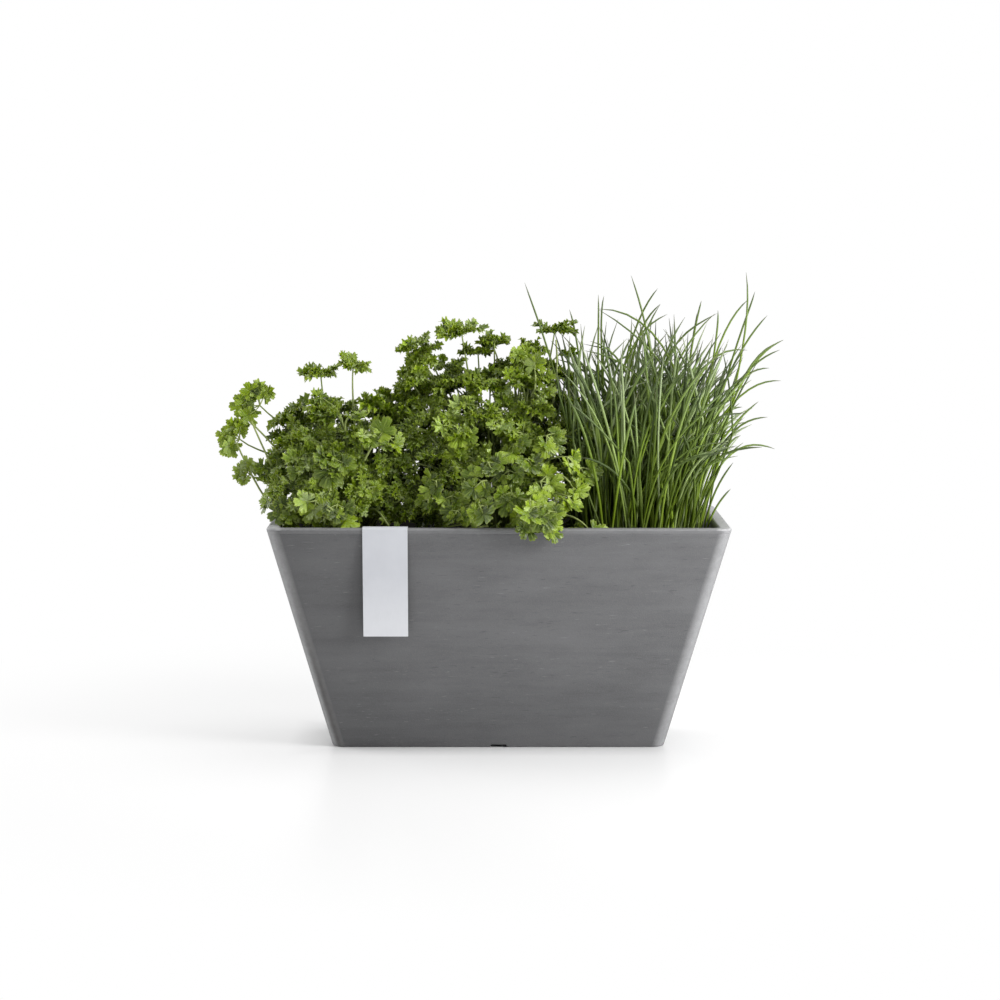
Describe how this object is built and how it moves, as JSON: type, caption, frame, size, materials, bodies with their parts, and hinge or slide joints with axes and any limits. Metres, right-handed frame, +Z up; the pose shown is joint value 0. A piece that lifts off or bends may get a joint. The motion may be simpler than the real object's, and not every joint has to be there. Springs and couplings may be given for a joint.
{
  "type": "planted trough pot",
  "caption": "Tapered rectangular trough pot planted with curly parsley and chives, with a blank card label folded over its front rim that lifts off.",
  "frame": {"origin": "middle of the pot's base, on the surface that it stands on", "axes": "+Z up, front with the label faces -Y, +X to the right seen from the front"},
  "size_m": [0.3812, 0.1785, 0.3137],
  "materials": {
    "pot": "matte",
    "label": "matte",
    "soil": "matte",
    "roots": "matte",
    "parsley_leaf": "satin",
    "chives_leaf": "satin"
  },
  "bodies": {
    "trough": {"pot_shell": "pot", "potting_soil": "soil", "parsley_left_rootball": "roots", "parsley_middle_rootball": "roots", "chives_rootball": "roots", "parsley_left": "parsley_leaf", "parsley_middle": "parsley_leaf", "chives": "chives_leaf"},
    "label": {"front_label": "label"}
  },
  "joints": [
    {"name": "label_lift", "type": "slide", "parent": "trough", "child": "label", "axis": [0, -0.2605, 0.9655], "range_m": [0, 0.09]}
  ]
}
